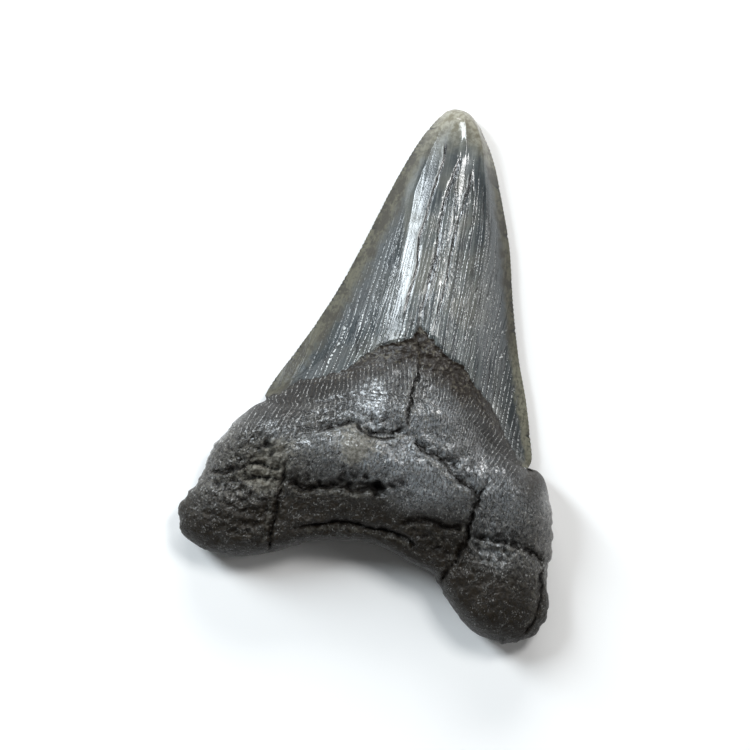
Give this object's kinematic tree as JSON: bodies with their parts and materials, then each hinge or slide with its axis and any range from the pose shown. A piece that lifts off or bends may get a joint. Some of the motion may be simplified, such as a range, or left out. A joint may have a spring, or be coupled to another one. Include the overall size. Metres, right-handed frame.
{
  "type": "fossil megalodon tooth",
  "caption": "Fossil megalodon tooth: a long, blunt-tipped, domed crown on a cracked, lobed root. It lies on its flat labial face, as a display piece.",
  "frame": {"origin": "under the middle of the tooth's bounding box, on the surface that the tooth lies on", "axes": "+Y from the root to the crown's tip, +Z out of the domed lingual face, +X across the tooth"},
  "size_m": [0.0602, 0.0792, 0.0175],
  "materials": {
    "tooth": "grey-black fossil, glossy enamel and satin root"
  },
  "bodies": {
    "root": {"tooth": "tooth"}
  },
  "joints": []
}
